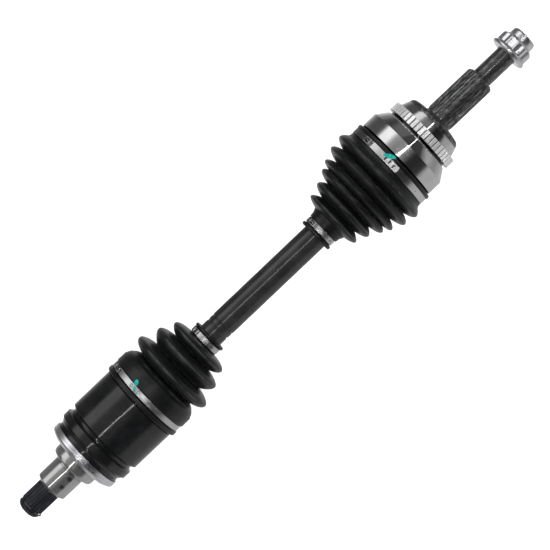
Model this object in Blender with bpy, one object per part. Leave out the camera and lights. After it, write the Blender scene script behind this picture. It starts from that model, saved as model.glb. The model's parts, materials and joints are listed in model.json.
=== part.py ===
"""A front-wheel-drive CV axle: a bar with a plunging tripod joint at its inboard end and a
six-ball fixed joint at its outboard end, each under a pleated boot.

The axle is straight at rest and lies along X. The inboard stub points to -X and the wheel end
to +X, and +Z is up. The origin is on the axis, at the shoulder that meets the differential.
Lengths below are in millimetres, and every mesh is built in metres through MM.
"""

from math import acos, atan2, cos, pi, radians, sin, sqrt, tan, tau

import bmesh
import bpy
from mathutils import Matrix, Vector

MM = 0.001
GAP = 0.3  # between two pieces that touch on the real axle

# Joint centres and travel
TRIPOD_X = 85.0  # centre of the tripod joint, at rest
BALLS_X = 455.0  # centre of the six-ball joint
PLUNGE = 15.0  # the tripod slides this far each way
TRIPOD_BEND = radians(18)
OUTER_BEND = radians(45)

# Inboard housing, from its stub to its mouth
STUB_TIP = -62.5
STUB_SPLINE = 12.9
STUB_TEETH = 24
SEAL_RADIUS = 17.7
COLLAR_RADIUS = 25.3
NECK_RADIUS = 39.75
SHIELD_RADIUS = 41.4
HOUSING_RADIUS = 44.0
HOUSING_SEAT = 43.0  # under the boot
HOUSING_MOUTH = 118.0
CAVITY_FLOOR = 47.0

# Tripod
TRUNNIONS = 3
TRUNNION_REACH = 27.0  # from the axis to the middle of a roller
TRUNNION_RADIUS = 8.0
ROLLER_RADIUS = 15.5
ROLLER_HALF = 6.5
TRACK_RADIUS = 16.5
TRACK_BOTTOM = 37.4
RIDGE_RADIUS = 20.9
NEEDLES = 12

# Bar
BAR_RADIUS = 13.9
BAR_NECK = 11.5  # where the bar passes a joint's mouth
BAR_SPLINE = 11.3

# Six-ball joint
BALLS = 6
BALL_RADIUS = 9.5
BALL_CIRCLE = 31.0
GROOVE_RADIUS = 10.0
RACE_BORE = 34.0
CAGE_OUTSIDE = 33.5
CAGE_INSIDE = 28.9
CAGE_HALF = 14.0
INNER_RACE_RADIUS = 28.2
INNER_RACE_HALF = 12.0
RACE_RADIUS = 47.5
RACE_SEAT = 46.0  # under the boot
RACE_MOUTH = -20.0  # from the ball centre
RACE_FLOOR = 26.0
RACE_COLUMNS = 60

# Wheel end
TONE_TEETH = 48
TONE_RADIUS = 41.0
TONE_SEAT = 38.5
HUB_FACE = 505.0
HUB_SPLINE = 15.75
THREAD_RADIUS = 11.1
THREAD_START = 567.5
THREAD_END = 625.4
NUT_START = 600.0
NUT_FLANGE = 20.0
NUT_END = 626.8

# Boots: (x, radius) of each pleat's crest and valley, from the joint towards the bar
BOOT_COLUMNS = 20
BOOT_WALL = 2.4
INBOARD_PLEATS = [(132, 35.5), (140, 47.6), (149, 32.4), (160, 41.0), (167.5, 24.6), (175, 33.9)]
OUTBOARD_PLEATS = [
    (425, 55.8), (417, 46.3), (410, 53.4), (404, 40.7), (398, 49.0), (392.5, 41.9), (389, 43.9),
    (382.5, 31.8), (376, 37.3), (369, 26.0), (363, 32.6),
]
BAND = 1.0  # thickness of a clamp band

FINISHES = {
    "black_paint": ((0.012, 0.012, 0.013), 0.25, 0.6),
    "steel": ((0.55, 0.55, 0.56), 0.25, 1.0),
    "dark_steel": ((0.16, 0.16, 0.17), 0.3, 1.0),
    "zinc": ((0.72, 0.73, 0.75), 0.3, 1.0),
    "rubber": ((0.015, 0.015, 0.015), 0.65, 0.0),
}


def clear_scene():
    for item in list(bpy.data.objects):
        bpy.data.objects.remove(item, do_unlink=True)


def finish(name):
    """The material of that finish, made once."""
    if name in bpy.data.materials:
        return bpy.data.materials[name]
    colour, roughness, metallic = FINISHES[name]
    made = bpy.data.materials.new(name)
    made.use_nodes = True
    shader = made.node_tree.nodes["Principled BSDF"]
    shader.inputs["Base Color"].default_value = (*colour, 1)
    shader.inputs["Roughness"].default_value = roughness
    shader.inputs["Metallic"].default_value = metallic
    return made


def empty(name, x, parent=None):
    """A joint's centre on the axis, x being in the parent's frame."""
    made = bpy.data.objects.new(name, None)
    bpy.context.collection.objects.link(made)
    made.parent = parent
    made.location = (x * MM, 0, 0)
    return made


def turned(profile, columns, closed=False, sweep=tau):
    """A mesh turned about X, with its first column on +Y.

    A profile point is (x, radius), and a radius may be a function of the column's number. A closed
    profile makes a ring, and an open one is filled at both ends. A sweep under a full turn makes
    a split ring.
    """
    bm = bmesh.new()
    split = sweep < tau
    count = columns + split
    rings = []
    for x, radius in profile:
        ring = []
        for k in range(count):
            r = radius(k) if callable(radius) else radius
            turn = sweep * k / columns
            ring.append(bm.verts.new((x * MM, r * cos(turn) * MM, r * sin(turn) * MM)))
        rings.append(ring)
    following = rings[1:] + rings[:1] if closed else rings[1:]
    for ring, after in zip(rings, following):
        for k in range(columns):
            n = (k + 1) % count
            bm.faces.new((ring[k], ring[n], after[n], after[k]))
    if split:
        bm.faces.new([ring[0] for ring in rings])
        bm.faces.new([ring[-1] for ring in rings])
    elif not closed:
        bm.faces.new(rings[0])
        bm.faces.new(rings[-1])
    return as_mesh(bm)


def extruded(outline, start, end):
    """A prism along X, from a loop of (y, z) points."""
    bm = bmesh.new()
    low = [bm.verts.new((start * MM, y * MM, z * MM)) for y, z in outline]
    high = [bm.verts.new((end * MM, y * MM, z * MM)) for y, z in outline]
    bm.faces.new(low)
    bm.faces.new(high)
    for k in range(len(outline)):
        n = (k + 1) % len(outline)
        bm.faces.new((low[k], low[n], high[n], high[k]))
    return as_mesh(bm)


def as_mesh(bm):
    bmesh.ops.recalc_face_normals(bm, faces=bm.faces)
    mesh = bpy.data.meshes.new("mesh")
    bm.to_mesh(mesh)
    bm.free()
    return mesh


def joined(meshes):
    """One mesh of several separate bodies, for use as a cutter or an addition."""
    bm = bmesh.new()
    for mesh in meshes:
        bm.from_mesh(mesh)
    return as_mesh(bm)


def piece(name, mesh, look, parent=None):
    """A node of the axle. Its mesh is in the world frame, and its origin goes to its parent's."""
    made = bpy.data.objects.new(name, mesh)
    bpy.context.collection.objects.link(made)
    if parent:
        made.parent = parent
        x = 0
        while parent:
            x += parent.location.x
            parent = parent.parent
        mesh.transform(Matrix.Translation((-x, 0, 0)))
    mesh.materials.append(finish(look))
    mesh.shade_smooth()
    mesh.set_sharp_from_angle(angle=radians(35))
    return made


def combine(base, name, mesh, operation):
    """Cuts a tool out of a piece, or adds it. The tool's mesh is in the world frame."""
    tool = bpy.data.objects.new(name, mesh)
    bpy.context.collection.objects.link(tool)
    tool.hide_render = True
    tool.display_type = "WIRE"
    step = base.modifiers.new(name, "BOOLEAN")
    step.operation = operation
    step.solver = "EXACT"
    step.object = tool


def teeth(tip, depth):
    """A radius that is at a tooth's tip in even columns and at its root in odd ones."""
    return lambda k: tip if k % 2 == 0 else tip - depth


def arc(radius, low, high, steps, centre=0.0):
    """(x, radius) points along a sphere centred on the axis, for x from low to high."""
    stations = [low + (high - low) * k / steps for k in range(steps + 1)]
    return [(centre + x, sqrt(radius**2 - x**2)) for x in stations]


def around(radius, columns):
    """The corner radius of a turned bore whose flats clear a round seat of that radius."""
    return (radius + GAP) / cos(pi / columns)


def trunnion_direction(k):
    """Trunnion 0 points straight up, on the axis that the tripod joint bends about."""
    turn = tau * k / TRUNNIONS
    return Vector((0, sin(turn), cos(turn)))


def on_trunnion(mesh, k):
    """Stands a mesh turned about X on trunnion k, with its x measured from the axle's axis."""
    stand = Vector((1, 0, 0)).rotation_difference(trunnion_direction(k)).to_matrix().to_4x4()
    mesh.transform(Matrix.Translation((TRIPOD_X * MM, 0, 0)) @ stand)
    return mesh


# Inboard side


def inboard_housing():
    spline = teeth(STUB_SPLINE, 1.0)
    clip_root = STUB_SPLINE - 1.6
    profile = [
        (STUB_TIP, clip_root),
        (STUB_TIP + 1.7, spline),
        (-56.6, spline),
        (-56.6, clip_root),
        (-53.9, clip_root),
        (-53.9, spline),
        (-30.0, spline),
        (-28.0, 15.9),
        (-26.0, SEAL_RADIUS),
        (0.0, SEAL_RADIUS),
        (0.0, 20.6),
        (2.0, 23.5),
        (5.0, COLLAR_RADIUS),
        (11.5, COLLAR_RADIUS),
        (13.7, 29.0),
        (15.8, 35.6),
        (19.3, NECK_RADIUS),
        (28.5, NECK_RADIUS),
        (30.5, HOUSING_RADIUS),
        (40.5, HOUSING_RADIUS),
        (43.0, 41.5),
        (47.5, 41.5),
        (50.0, HOUSING_RADIUS),
        (96.4, HOUSING_RADIUS),
        (96.4, HOUSING_SEAT),
        (HOUSING_MOUTH, HOUSING_SEAT),
    ]
    made = piece("inboard_housing", turned(profile, 2 * STUB_TEETH), "black_paint")
    combine(made, "track_cutter", extruded(track_outline(), CAVITY_FLOOR, HOUSING_MOUTH + 1), "DIFFERENCE")
    combine(made, "ridge_cutter", ridge_relief(), "DIFFERENCE")


def track_outline():
    """Three round tracks for the rollers, each with a flat bottom, and the ridges between them."""
    cosine = (TRUNNION_REACH**2 + RIDGE_RADIUS**2 - TRACK_RADIUS**2) / (2 * TRUNNION_REACH * RIDGE_RADIUS)
    edge = acos(cosine)
    across = RIDGE_RADIUS * sin(edge)
    along = RIDGE_RADIUS * cos(edge) - TRUNNION_REACH
    first = atan2(across, along)
    last = acos((TRACK_BOTTOM - TRUNNION_REACH) / TRACK_RADIUS)
    steps = 6
    side = [first + (last - first) * k / steps for k in range(steps + 1)]
    sweep = [-angle for angle in side] + side[::-1]
    ridge = [pi / TRUNNIONS + part * (pi / TRUNNIONS - edge) for part in (-0.33, 0.33)]
    outline = []
    for k in range(TRUNNIONS):
        turn = tau * k / TRUNNIONS
        for angle in sweep:
            outward = TRUNNION_REACH + TRACK_RADIUS * cos(angle)
            sideways = TRACK_RADIUS * sin(angle)
            y = outward * sin(turn) + sideways * cos(turn)
            z = outward * cos(turn) - sideways * sin(turn)
            outline.append((y, z))
        for angle in ridge:
            outline.append((RIDGE_RADIUS * sin(turn + angle), RIDGE_RADIUS * cos(turn + angle)))
    return outline


def ridge_relief():
    """Opens the ridges towards the mouth, for the bar at full bend and full inward plunge."""
    reach = TRIPOD_X - PLUNGE
    bar = 1.0 + (BAR_NECK + 0.4) / cos(TRIPOD_BEND)
    end = HOUSING_MOUTH + 1
    start = reach + (RIDGE_RADIUS - 1 - bar) / tan(TRIPOD_BEND)
    profile = [(start, RIDGE_RADIUS - 1), (end, bar + (end - reach) * tan(TRIPOD_BEND))]
    return turned(profile, 32)


def dust_shield():
    columns = 24
    profile = [
        (12.0, 29.0),
        (14.0, 36.0),
        (18.0, SHIELD_RADIUS),
        (23.0, SHIELD_RADIUS),
        (23.0, around(NECK_RADIUS, columns)),
        (18.8, around(NECK_RADIUS, columns)),
        (15.2, 36.0),
        (13.2, 29.3),
    ]
    piece("dust_shield", turned(profile, columns, closed=True), "zinc")


def split_ring(name, x, width, inside, outside, parent=None):
    """A circlip of square wire, open at its gap."""
    profile = [(x, inside), (x, outside), (x + width, outside), (x + width, inside)]
    piece(name, turned(profile, 16, closed=True, sweep=radians(330)), "steel", parent)


def tripod_spider(parent):
    half = 11.0
    bore = BAR_SPLINE + GAP + 0.1
    hub = 15.5
    profile = [
        (TRIPOD_X - half, bore),
        (TRIPOD_X - half, hub),
        (TRIPOD_X + half, hub),
        (TRIPOD_X + half, bore),
    ]
    made = piece("tripod_spider", turned(profile, 20, closed=True), "dark_steel", parent)
    trunnion = [
        (13.2, 9.5),
        (20.0, 9.5),
        (20.0, TRUNNION_RADIUS),
        (33.7, TRUNNION_RADIUS),
        (33.7, 7.2),
        (35.0, 7.2),
        (35.0, TRUNNION_RADIUS),
        (35.8, TRUNNION_RADIUS),
    ]
    arms = [on_trunnion(turned(trunnion, 16), k) for k in range(TRUNNIONS)]
    combine(made, "trunnion_tool", joined(arms), "UNION")


def tripod_roller(k, parent):
    outside = arc(ROLLER_RADIUS, -ROLLER_HALF, ROLLER_HALF, 4, TRUNNION_REACH)
    bore = 10.3
    profile = outside + [(TRUNNION_REACH + ROLLER_HALF, bore), (TRUNNION_REACH - ROLLER_HALF, bore)]
    mesh = on_trunnion(turned(profile, 20, closed=True), k)
    piece(f"roller_{k + 1}", mesh, "steel", parent)


def needle_set(k, parent):
    """A full ring of needles round a trunnion, made as one fluted sleeve."""
    inside = TRUNNION_RADIUS + GAP
    outside = inside + 1.6
    low = TRUNNION_REACH - 5.8
    high = TRUNNION_REACH + 5.8

    def inner(column):
        return inside + 0.5 * (column % 2)

    def outer(column):
        return outside - 0.5 * (column % 2)

    profile = [(low, inner), (low, outer), (high, outer), (high, inner)]
    mesh = on_trunnion(turned(profile, 2 * NEEDLES, closed=True), k)
    piece(f"needle_set_{k + 1}", mesh, "steel", parent)


def roller_retainer(k, parent):
    low = TRUNNION_REACH + ROLLER_HALF + 0.4
    profile = [(low, 7.5), (low, 11.0), (low + 0.8, 11.0), (low + 0.8, 7.5)]
    mesh = on_trunnion(turned(profile, 16, closed=True, sweep=radians(330)), k)
    piece(f"roller_retainer_{k + 1}", mesh, "steel", parent)


# Boots and their clamps


def boot(name, cuff, pleats, end, parent=None):
    """A moulded boot. The cuff and the end are outlines of (x, outside radius, inside radius)."""
    walls = cuff + [(x, r, r - BOOT_WALL) for x, r in pleats] + end
    outside = [(x, r) for x, r, _ in walls]
    inside = [(x, r) for x, _, r in reversed(walls)]
    piece(name, turned(outside + inside, BOOT_COLUMNS, closed=True), "rubber", parent)


def inboard_boot():
    bore = around(HOUSING_SEAT, BOOT_COLUMNS)
    bar = around(BAR_RADIUS, BOOT_COLUMNS)
    band = 45.0 - GAP
    cuff = [
        (97.0, 46.9, bore),
        (102.7, 46.9, bore),
        (102.7, band, bore),
        (109.6, band, bore),
        (109.6, 46.7, bore),
        (118.5, 46.7, bore),
        (124.0, 44.8, 42.4),
    ]
    end = [
        (183.6, 18.0, bar),
        (183.6, 16.4, bar),
        (190.4, 16.4, bar),
        (190.4, 18.75, bar),
        (194.0, 18.75, bar),
    ]
    boot("inboard_boot", cuff, INBOARD_PLEATS, end)


def outboard_boot(parent):
    bore = around(RACE_SEAT, BOOT_COLUMNS)
    bar = around(BAR_RADIUS, BOOT_COLUMNS)
    band = 48.5 - GAP
    cuff = [
        (447.5, 50.1, bore),
        (443.4, 50.1, bore),
        (443.4, band, bore),
        (435.7, band, bore),
        (435.7, 49.6, bore),
        (434.0, 50.6, bore),
    ]
    end = [
        (354.0, 20.3, bar),
        (348.4, 18.6, bar),
        (348.4, 16.5, bar),
        (341.6, 16.5, bar),
        (341.6, 19.0, bar),
        (337.5, 19.0, bar),
    ]
    boot("outboard_boot", cuff, OUTBOARD_PLEATS, end, parent)


def clamp(name, x, width, outside, parent=None):
    """A crimped band with a raised ear, towards +Y and up."""
    inside = outside - BAND
    profile = [(x, inside), (x, outside), (x + width, outside), (x + width, inside)]
    made = piece(name, turned(profile, BOOT_COLUMNS, closed=True), "steel", parent)
    ear = bmesh.new()
    size = (width - 1.6, min(11.0, 0.4 * outside), 1.6)
    bmesh.ops.create_cube(ear, size=MM)
    bmesh.ops.scale(ear, vec=size, verts=ear.verts)
    mesh = as_mesh(ear)
    flat = outside * cos(pi / BOOT_COLUMNS)
    facet = 2.5 * tau / BOOT_COLUMNS  # the middle of a flat, so the ear sits square on it
    turn = Matrix.Rotation(facet - pi / 2, 4, "X")
    lift = Matrix.Translation(((x + width / 2) * MM, 0, 0)) @ turn @ Matrix.Translation((0, 0, flat * MM))
    mesh.transform(lift)
    combine(made, f"{name}_ear", mesh, "UNION")


# Bar


def shaft_bar(parent):
    clip_root = BAR_SPLINE - 1.1
    profile = [
        (70.0, clip_root),
        (70.8, BAR_SPLINE),
        (71.6, BAR_SPLINE),
        (71.6, clip_root),
        (73.5, clip_root),
        (73.5, BAR_SPLINE),
        (96.6, BAR_SPLINE),
        (97.4, BAR_NECK + 0.4),
        (142.0, BAR_NECK + 0.4),
        (152.0, BAR_RADIUS - 0.3),
        (202.0, BAR_RADIUS - 0.3),
        (203.5, BAR_RADIUS - 0.9),
        (210.0, BAR_RADIUS - 0.7),
        (212.0, BAR_RADIUS),
        (398.0, BAR_RADIUS),
        (406.0, BAR_NECK),
        (439.5, BAR_NECK),
        (440.0, BAR_NECK + 1.0),
        (442.4, BAR_NECK + 1.0),
        (442.4, BAR_SPLINE),
        (467.5, BAR_SPLINE),
        (467.5, clip_root),
        (469.4, clip_root),
        (469.4, BAR_SPLINE),
        (470.8, clip_root),
    ]
    piece("shaft_bar", turned(profile, 20), "black_paint", parent)


# Six-ball joint


def groove(x, column, columns, side):
    """The radius where a ball's round groove meets a race, or None between grooves.

    A ball runs on a circle of BALL_CIRCLE about the joint's centre, so its groove is part of a
    ring of GROOVE_RADIUS. x is measured from the centre, and side is 1 outside the balls and -1
    inside them.
    """
    pitch = tau / BALLS
    off = (tau * column / columns + pitch / 2) % pitch - pitch / 2
    a = x * x + BALL_CIRCLE**2 - GROOVE_RADIUS**2
    b = 2 * (BALL_CIRCLE * cos(off)) ** 2 - a
    under = b * b - a * a + (2 * BALL_CIRCLE * x) ** 2
    if under < 0 or b + side * sqrt(under) <= 0:
        return None
    return sqrt(b + side * sqrt(under))


def race_bore(x):
    """The outer race's inside at x: the cage's sphere, the grooves, and a cone for the bar."""
    sphere = sqrt(RACE_BORE**2 - x * x)
    cone = -x * tan(OUTER_BEND) + 0.5 + BAR_NECK / cos(OUTER_BEND)

    def radius(column):
        cut = groove(x, column, RACE_COLUMNS, 1)
        return max(sphere, cone if x < 0 else 0, cut or 0)

    return radius


def outer_race(parent):
    inside = [RACE_FLOOR, 20.0, 13.0, 6.5, 0.0, -7.0, -14.0, RACE_MOUTH]
    spline = teeth(HUB_SPLINE, 0.9)
    profile = [(BALLS_X + x, race_bore(x)) for x in inside]
    profile += [
        (BALLS_X + RACE_MOUTH, RACE_SEAT),
        (447.8, RACE_SEAT),
        (447.8, RACE_RADIUS),
        (464.6, RACE_RADIUS),
        (469.8, 44.2),
        (476.4, 39.0),
        (477.0, 37.6),
        (479.0, 37.6),
        (479.1, TONE_SEAT),
        (489.6, TONE_SEAT),
        (492.0, 35.9),
        (497.0, 33.6),
        (502.8, 30.6),
        (HUB_FACE, 26.5),
        (HUB_FACE, 20.5),
        (HUB_FACE + 2.5, spline),
        (565.0, spline),
        (566.5, 14.0),
        (THREAD_START, THREAD_RADIUS),
        (THREAD_END - 1, THREAD_RADIUS),
        (THREAD_END, THREAD_RADIUS - 1),
    ]
    piece("outer_race", turned(profile, RACE_COLUMNS), "dark_steel", parent)


def inner_race(parent):
    columns = 48
    bore = BAR_SPLINE + GAP + 0.1

    def outside(x):
        sphere = sqrt(INNER_RACE_RADIUS**2 - x * x)
        return lambda column: min(sphere, groove(x, column, columns, -1) or sphere)

    stations = [-INNER_RACE_HALF, -6.0, 0.0, 6.0, INNER_RACE_HALF]
    profile = [(BALLS_X + x, outside(x)) for x in stations]
    profile += [(BALLS_X + INNER_RACE_HALF, bore), (BALLS_X - INNER_RACE_HALF, bore)]
    piece("inner_race", turned(profile, columns, closed=True), "steel", parent)


def ball_cage(parent):
    outside = arc(CAGE_OUTSIDE, -CAGE_HALF, CAGE_HALF, 4, BALLS_X)
    inside = arc(CAGE_INSIDE, CAGE_HALF, -CAGE_HALF, 4, BALLS_X)
    made = piece("ball_cage", turned(outside + inside, 30, closed=True), "dark_steel", parent)
    windows = []
    for k in range(BALLS):
        bm = bmesh.new()
        bmesh.ops.create_cube(bm, size=MM)
        bmesh.ops.scale(bm, vec=(2 * BALL_RADIUS + 1.2, 16.0, 2 * BALL_RADIUS + 3.2), verts=bm.verts)
        window = as_mesh(bm)
        turn = Matrix.Rotation(tau * k / BALLS, 4, "X")
        out = Matrix.Translation((BALLS_X * MM, BALL_CIRCLE * MM, 0))
        window.transform(turn @ out)
        windows.append(window)
    combine(made, "window_cutter", joined(windows), "DIFFERENCE")


def ball(k, parent):
    bm = bmesh.new()
    bmesh.ops.create_uvsphere(bm, u_segments=12, v_segments=7, radius=BALL_RADIUS * MM)
    mesh = as_mesh(bm)
    turn = tau * k / BALLS
    place = (BALLS_X * MM, BALL_CIRCLE * cos(turn) * MM, BALL_CIRCLE * sin(turn) * MM)
    mesh.transform(Matrix.Translation(place))
    piece(f"ball_{k + 1}", mesh, "steel", parent)


# Wheel end


def tone_ring(parent):
    """The speed sensor's toothed ring."""
    start = 479.4
    end = 489.2
    tip = teeth(TONE_RADIUS, 1.4)
    bore = TONE_SEAT + GAP
    profile = [(start, bore), (start, tip), (end, tip), (end, bore)]
    piece("tone_ring", turned(profile, 2 * TONE_TEETH, closed=True), "zinc", parent)


def hub_nut(parent):
    bore = THREAD_RADIUS + GAP
    points = teeth(18.2, 1.7)
    profile = [
        (NUT_START, bore),
        (NUT_START, 17.6),
        (NUT_START + 1.5, NUT_FLANGE),
        (NUT_START + 4.5, NUT_FLANGE),
        (NUT_START + 6.5, 18.4),
        (NUT_START + 6.8, points),
        (NUT_START + 16.2, points),
        (NUT_START + 17.2, 15.2),
        (NUT_START + 17.2, 13.2),
        (NUT_END, 13.2),
        (NUT_END, bore),
    ]
    piece("hub_nut", turned(profile, 24, closed=True), "zinc", parent)


def build():
    clear_scene()
    slide = empty("plunge_centre", TRIPOD_X)
    shaft = empty("inboard_bend_centre", 0, slide)
    half_bend = empty("cage_centre", BALLS_X - TRIPOD_X, shaft)
    wheel = empty("outboard_bend_centre", BALLS_X - TRIPOD_X, shaft)

    inboard_housing()
    dust_shield()
    split_ring("stub_circlip", -56.2, 2.0, STUB_SPLINE - 1.3, STUB_SPLINE + 0.5)
    inboard_boot()
    clamp("inboard_big_clamp", 103.0, 6.3, 46.0)

    needle_set(0, slide)
    tripod_roller(0, slide)

    shaft_bar(shaft)
    tripod_spider(shaft)
    split_ring("spider_circlip", 71.9, 1.3, BAR_SPLINE - 0.8, BAR_SPLINE + 1.6, shaft)
    for k in range(TRUNNIONS):
        roller_retainer(k, shaft)
    for k in range(1, TRUNNIONS):
        needle_set(k, shaft)
        tripod_roller(k, shaft)
    clamp("inboard_small_clamp", 184.0, 6.0, 17.7, shaft)
    clamp("outboard_small_clamp", 342.0, 6.0, 17.8, shaft)
    inner_race(shaft)
    split_ring("inner_race_circlip", 467.8, 1.3, BAR_SPLINE - 0.8, BAR_SPLINE + 1.6, shaft)
    ball_cage(half_bend)
    for k in range(BALLS):
        ball(k, half_bend)

    outer_race(wheel)
    tone_ring(wheel)
    outboard_boot(wheel)
    clamp("outboard_big_clamp", 436.0, 7.1, 49.5, wheel)
    hub_nut(wheel)


build()
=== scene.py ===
"""A front-wheel-drive axle: splined stub, tripod housing, two pleated boots, bar, bell and nut.

Every length below is in millimetres in the row frame, with the axle along X, until MM turns it into metres.
Angles round the axle start at +Z, the side that faces the camera, and grow towards +Y.
"""

import json
import math

import bpy
import numpy as np
from mathutils import Matrix, Vector


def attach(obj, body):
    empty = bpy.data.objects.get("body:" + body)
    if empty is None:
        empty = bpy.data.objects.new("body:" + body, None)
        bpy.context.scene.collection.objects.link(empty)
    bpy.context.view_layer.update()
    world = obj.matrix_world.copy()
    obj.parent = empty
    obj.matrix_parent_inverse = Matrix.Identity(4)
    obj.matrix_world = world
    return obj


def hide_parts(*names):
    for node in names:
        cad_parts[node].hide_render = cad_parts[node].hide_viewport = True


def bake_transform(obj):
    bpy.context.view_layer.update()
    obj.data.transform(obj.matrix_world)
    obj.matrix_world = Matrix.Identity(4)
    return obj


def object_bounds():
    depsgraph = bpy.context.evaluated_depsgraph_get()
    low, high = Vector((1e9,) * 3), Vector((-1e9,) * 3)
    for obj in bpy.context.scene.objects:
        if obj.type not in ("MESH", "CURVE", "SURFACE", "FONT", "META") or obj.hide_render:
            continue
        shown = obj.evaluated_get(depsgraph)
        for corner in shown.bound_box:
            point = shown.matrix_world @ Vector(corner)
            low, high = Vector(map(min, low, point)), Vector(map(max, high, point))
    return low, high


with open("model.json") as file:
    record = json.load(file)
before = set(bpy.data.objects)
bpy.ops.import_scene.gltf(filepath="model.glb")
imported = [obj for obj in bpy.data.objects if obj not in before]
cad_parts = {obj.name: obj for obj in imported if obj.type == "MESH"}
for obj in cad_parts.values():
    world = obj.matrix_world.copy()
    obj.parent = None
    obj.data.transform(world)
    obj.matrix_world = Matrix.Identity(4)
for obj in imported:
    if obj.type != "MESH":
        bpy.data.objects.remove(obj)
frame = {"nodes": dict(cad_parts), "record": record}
CAD_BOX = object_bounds()

MM = 0.001
TURN = 2 * math.pi
SHARP = math.radians(28)

# The centre of the outboard joint along X.
BALL_X = 455.0

STUB_TEETH = 24
STEM_TEETH = 30
RING_TEETH = 48
THREAD_PITCH = 1.5
NUT_POINTS = 12
BOOT_WALL = 2.0


# ---------------------------------------------------------------- mesh helpers


def lerp(a, b, t):
    return a + (b - a) * t


def smooth(t):
    t = np.clip(t, 0, 1)
    return t * t * (3 - 2 * t)


def within(value, centre, half, soft):
    """1 inside half of centre, falling to 0 over soft round that edge."""
    return np.clip((half - np.abs(value - centre)) / soft + 0.5, 0, 1)


def rounded(points, steps=4):
    """The outline through (x, r) or (x, r, fillet) points, with each fillet turned as an arc."""
    corners = [(p[0], p[1], p[2] if len(p) > 2 else 0.0) for p in points]
    out = [corners[0][:2]]
    for before, here, after in zip(corners, corners[1:], corners[2:]):
        p = np.array(here[:2])
        a = np.array(before[:2]) - p
        b = np.array(after[:2]) - p
        la = np.linalg.norm(a)
        lb = np.linalg.norm(b)
        if here[2] <= 0 or la < 1e-6 or lb < 1e-6:
            out.append(tuple(p))
            continue
        a = a / la
        b = b / lb
        half = math.acos(max(-1.0, min(1.0, float(a @ b)))) / 2
        if half > math.radians(88.5) or half < math.radians(1):
            out.append(tuple(p))
            continue
        reach = min(here[2] / math.tan(half), 0.48 * la, 0.48 * lb)
        radius = reach * math.tan(half)
        middle = p + (a + b) / np.linalg.norm(a + b) * radius / math.sin(half)
        first = p + a * reach - middle
        last = p + b * reach - middle
        sweep = math.pi - 2 * half
        side = 1.0 if first[0] * last[1] - first[1] * last[0] > 0 else -1.0
        for k in range(steps + 1):
            turn = side * sweep * k / steps
            c = math.cos(turn)
            s = math.sin(turn)
            spot = middle + np.array([first[0] * c - first[1] * s, first[0] * s + first[1] * c])
            out.append(tuple(spot))
    out.append(corners[-1][:2])
    return out


def even(columns):
    return np.arange(columns) * TURN / columns


def grid_object(name, x, r, angles, closed):
    """A body from rows of x and r (in mm) round the axle. closed joins the last row to the first."""
    rows = len(x)
    columns = len(angles)
    verts = []
    index = []
    for k in range(rows):
        if not closed and k in (0, rows - 1) and np.all(r[k] < 1e-6):
            index.append([len(verts)] * columns)
            verts.append((x[k][0] * MM, 0.0, 0.0))
            continue
        index.append(list(range(len(verts), len(verts) + columns)))
        ys = r[k] * np.sin(angles) * MM
        zs = r[k] * np.cos(angles) * MM
        verts.extend(zip((x[k] * MM).tolist(), ys.tolist(), zs.tolist()))
    faces = []
    for k in range(rows if closed else rows - 1):
        top = index[k]
        low = index[(k + 1) % rows]
        for j in range(columns):
            n = (j + 1) % columns
            loop = [top[j], top[n], low[n], low[j]]
            face = [v for i, v in enumerate(loop) if v != loop[i - 1]]
            if len(face) > 2:
                faces.append(face)
    if not closed:
        if not np.all(r[0] < 1e-6):
            faces.append(list(reversed(index[0])))
        if not np.all(r[-1] < 1e-6):
            faces.append(index[-1])
    return mesh_object(name, verts, faces)


def mesh_object(name, verts, faces):
    """A closed mesh whose faces look outward, smooth but for its sharp edges."""
    mesh = bpy.data.meshes.new(name)
    mesh.from_pydata(verts, [], faces)
    mesh.update()
    co = np.zeros(len(mesh.vertices) * 3)
    mesh.vertices.foreach_get("co", co)
    co = co.reshape(-1, 3)
    mesh.calc_loop_triangles()
    tri = np.zeros(len(mesh.loop_triangles) * 3, int)
    mesh.loop_triangles.foreach_get("vertices", tri)
    a, b, c = (co[tri.reshape(-1, 3)[:, k]] for k in range(3))
    if np.einsum("ij,ij->i", a, np.cross(b, c)).sum() < 0:
        mesh.flip_normals()
    mesh.shade_smooth()
    mesh.set_sharp_from_angle(angle=SHARP)
    made = bpy.data.objects.new(name, mesh)
    bpy.context.scene.collection.objects.link(made)
    return made


def turned(name, outline, columns=160, closed=True, relief=None, angles=None):
    """A turned body. relief takes its rows of x, r and angle and gives x and r with the detail cut in."""
    angles = even(columns) if angles is None else angles
    spots = np.array([p[:2] for p in outline], float)
    x = np.repeat(spots[:, :1], len(angles), 1)
    r = np.repeat(spots[:, 1:2], len(angles), 1)
    if relief:
        x, r = relief(x, r, np.repeat(angles[None, :], len(spots), 0))
    return grid_object(name, x, r, angles, closed)


def paint_attribute(piece, key, values):
    """Stores a value at each point of a closed turned piece, for its finish to read."""
    made = piece.data.attributes.new(key, "FLOAT", "POINT")
    made.data.foreach_set("value", values.ravel().astype(np.float32))


def dense(outline, x0, x1, step):
    """The outline with extra points every step where it runs from x0 to x1."""
    out = [outline[0]]
    for a, b in zip(outline, outline[1:]):
        inside = min(a[0], b[0]) >= x0 - 1e-6 and max(a[0], b[0]) <= x1 + 1e-6
        count = max(1, math.ceil(abs(b[0] - a[0]) / step)) if inside else 1
        for k in range(1, count + 1):
            out.append((lerp(a[0], b[0], k / count), lerp(a[1], b[1], k / count)))
    return out


def toothed(teeth, land=0.42, flank=0.14):
    """Angles for a ring of teeth, and how deep the gap is at each (0 on a tooth, 1 in a gap)."""
    pitch = TURN / teeth
    stops = [(0.0, 0), (land, 0), (land + flank, 1), (1 - flank, 1)]
    angles = np.array([(k + s) * pitch for k in range(teeth) for s, _ in stops])
    depth = np.array([d for _ in range(teeth) for _, d in stops], float)
    return angles, depth


# ---------------------------------------------------------------- materials


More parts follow.
